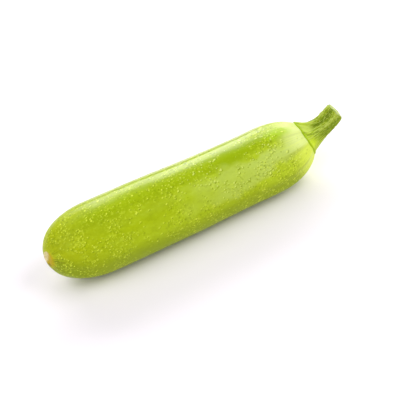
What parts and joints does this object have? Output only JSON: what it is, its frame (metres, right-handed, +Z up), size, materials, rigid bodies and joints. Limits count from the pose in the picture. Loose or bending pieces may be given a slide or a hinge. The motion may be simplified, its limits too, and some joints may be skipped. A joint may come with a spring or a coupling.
{
  "type": "zucchini",
  "caption": "Light green zucchini with softly ribbed speckled skin, a small blossom scar and a ribbed cut stem on a flared foot, lying on its side.",
  "frame": {"origin": "middle of the object's footprint, on the surface that the zucchini lies on", "axes": "+X along the fruit from the blossom end to the stem, +Z up from the surface"},
  "size_m": [0.2194, 0.0506, 0.0492],
  "materials": {
    "skin": "waxy satin skin, light green with fine pale flecks",
    "blossom_scar": "dry corky scar at the blossom end",
    "stem_skin": "fibrous ribbed stem, slightly hairy",
    "cut_end": "pale moist cut across the stem"
  },
  "bodies": {
    "root": {"fruit": "skin", "stem": "stem_skin"}
  },
  "joints": []
}
